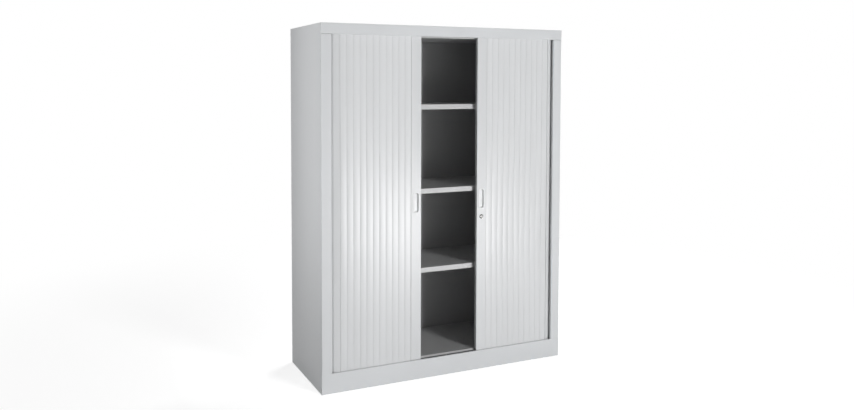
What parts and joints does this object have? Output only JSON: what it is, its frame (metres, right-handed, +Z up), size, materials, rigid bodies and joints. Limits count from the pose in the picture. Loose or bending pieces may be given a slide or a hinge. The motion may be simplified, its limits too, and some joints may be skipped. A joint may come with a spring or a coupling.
{
  "type": "tambour storage cupboard",
  "caption": "Tall light-grey steel storage cupboard with two slatted side-opening shutters, recessed pulls, a lock and inner shelves.",
  "frame": {"origin": "middle of the footprint, on the surface that the cupboard stands on", "axes": "+Z up, +Y from the front to the back, +X to the right of someone facing the front"},
  "size_m": [1.2, 0.43, 1.56],
  "materials": {
    "carcass_steel": "light grey satin powder coat",
    "inner_steel": "light grey satin powder coat",
    "slat_plastic": "satin extruded plastic",
    "rail_aluminium": "satin powder coat on an extrusion",
    "pull_plastic": "fine-grained moulded plastic",
    "track_plastic": "black low-friction plastic",
    "zinc_steel": "bright zinc plate",
    "lock_chrome": "polished nickel",
    "foot_plastic": "black moulded plastic"
  },
  "bodies": {
    "cabinet": {"right_side_panel": "carcass_steel", "left_side_panel": "carcass_steel", "bottom_front_rail": "carcass_steel", "top_panel": "carcass_steel", "back_panel": "carcass_steel", "bottom_pan": "inner_steel", "top_pan": "inner_steel", "floor_tray": "inner_steel", "ceiling_tray": "inner_steel", "bottom_track_right": "track_plastic", "bottom_track_left": "track_plastic", "top_track_right": "track_plastic", "top_track_left": "track_plastic", "right_side_liner": "inner_steel", "left_side_liner": "inner_steel", "back_liner": "inner_steel", "shelf_1": "inner_steel", "shelf_2": "inner_steel", "shelf_3": "inner_steel", "shelf_rib_1": "inner_steel", "shelf_rib_2": "inner_steel", "shelf_rib_3": "inner_steel", "shelf_clips": "zinc_steel", "foot_nuts": "zinc_steel", "right_front_slats": "slat_plastic", "left_front_slats": "slat_plastic", "right_corner_slats": "slat_plastic", "left_corner_slats": "slat_plastic"},
    "left_shutter": {"left_lead_rail": "rail_aluminium", "left_pull": "pull_plastic", "left_end_glides": "track_plastic", "striker_plate": "zinc_steel"},
    "right_shutter": {"right_lead_rail": "rail_aluminium", "right_pull": "pull_plastic", "right_end_glides": "track_plastic", "lock_housing": "lock_chrome"},
    "lock": {"lock_barrel": "lock_chrome", "lock_hook": "zinc_steel"},
    "left_front_foot": {"left_front_foot": "foot_plastic"},
    "left_rear_foot": {"left_rear_foot": "foot_plastic"},
    "right_front_foot": {"right_front_foot": "foot_plastic"},
    "right_rear_foot": {"right_rear_foot": "foot_plastic"}
  },
  "joints": [
    {"name": "left_shutter_slide", "type": "slide", "parent": "cabinet", "child": "left_shutter", "axis": [-1, 0, 0], "range_m": [-0.1335, 0.322], "deforming": ["left_front_slats"]},
    {"name": "right_shutter_slide", "type": "slide", "parent": "cabinet", "child": "right_shutter", "axis": [1, 0, 0], "range_m": [-0.148, 0.3075], "deforming": ["right_front_slats"]},
    {"name": "lock_turn", "type": "hinge", "parent": "right_shutter", "child": "lock", "pos_m": [0.1727, -0.202, 0.703], "axis": [0, 1, 0], "range_deg": [0, 90]},
    {"name": "left_front_foot_drop", "type": "slide", "parent": "cabinet", "child": "left_front_foot", "axis": [0, 0, -1], "range_m": [0, 0.012]},
    {"name": "left_rear_foot_drop", "type": "slide", "parent": "cabinet", "child": "left_rear_foot", "axis": [0, 0, -1], "range_m": [0, 0.012]},
    {"name": "right_front_foot_drop", "type": "slide", "parent": "cabinet", "child": "right_front_foot", "axis": [0, 0, -1], "range_m": [0, 0.012]},
    {"name": "right_rear_foot_drop", "type": "slide", "parent": "cabinet", "child": "right_rear_foot", "axis": [0, 0, -1], "range_m": [0, 0.012]}
  ]
}
